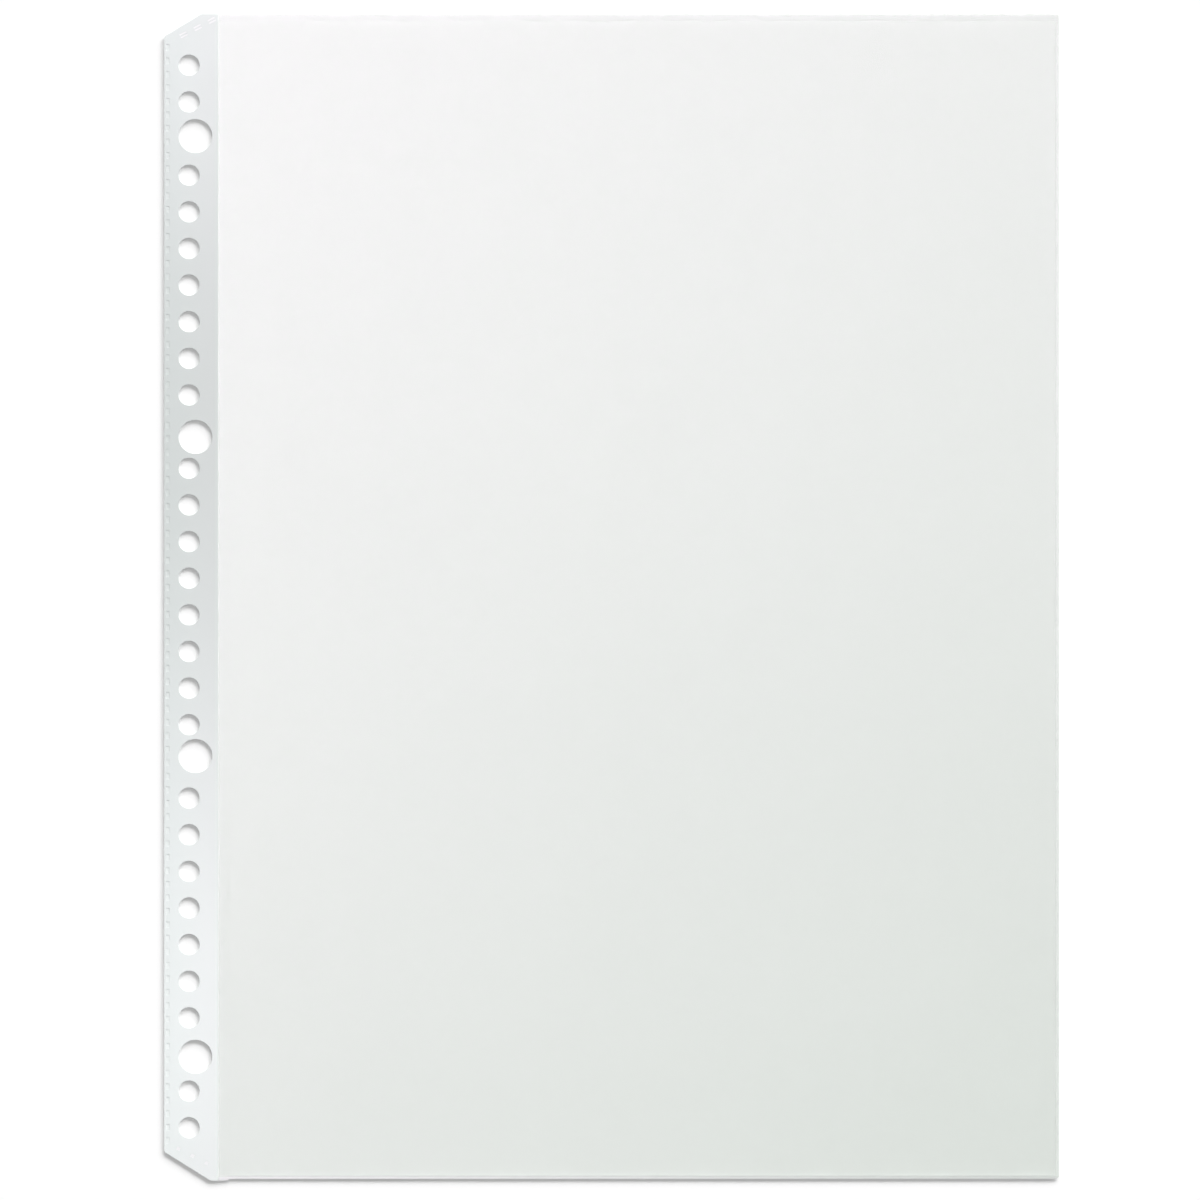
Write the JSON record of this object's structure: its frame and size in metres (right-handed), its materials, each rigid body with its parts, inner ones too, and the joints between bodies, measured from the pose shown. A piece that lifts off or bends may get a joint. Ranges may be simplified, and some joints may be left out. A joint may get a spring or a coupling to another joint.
{
  "type": "sheet protector",
  "caption": "Clear A4 pocket of two welded films, open at the top, on a punched binding strip with cut outer corners; the pocket turns on the strip as a page.",
  "frame": {"origin": "middle of the page's outline, on the surface that it lies on", "axes": "+X across the page from the binding strip to the pocket's closed side, +Y up the page to the mouth, +Z out of the page's front"},
  "size_m": [0.232, 0.3026, 0.0005],
  "materials": {
    "clear_film": "clear polypropylene film, smooth and glossy with a slight haze",
    "strip_tape": "milky polypropylene tape, smooth and glossy",
    "weld": "fused polypropylene, milky, pressed by the sealing bar"
  },
  "bodies": {
    "binding_strip": {"tape_backing": "strip_tape", "binding_tape": "strip_tape", "edge_stitch_welds": "weld", "top_corner_welds": "weld", "bottom_corner_welds": "weld", "spine_seam": "weld"},
    "pocket": {"back_film": "clear_film", "front_film": "clear_film", "side_seam": "weld", "bottom_seam": "weld"}
  },
  "joints": [
    {"name": "page_turn", "type": "hinge", "parent": "binding_strip", "child": "pocket", "pos_m": [-0.09895, 0, 0.00047], "axis": [0, -1, 0], "range_deg": [0, 175]}
  ]
}
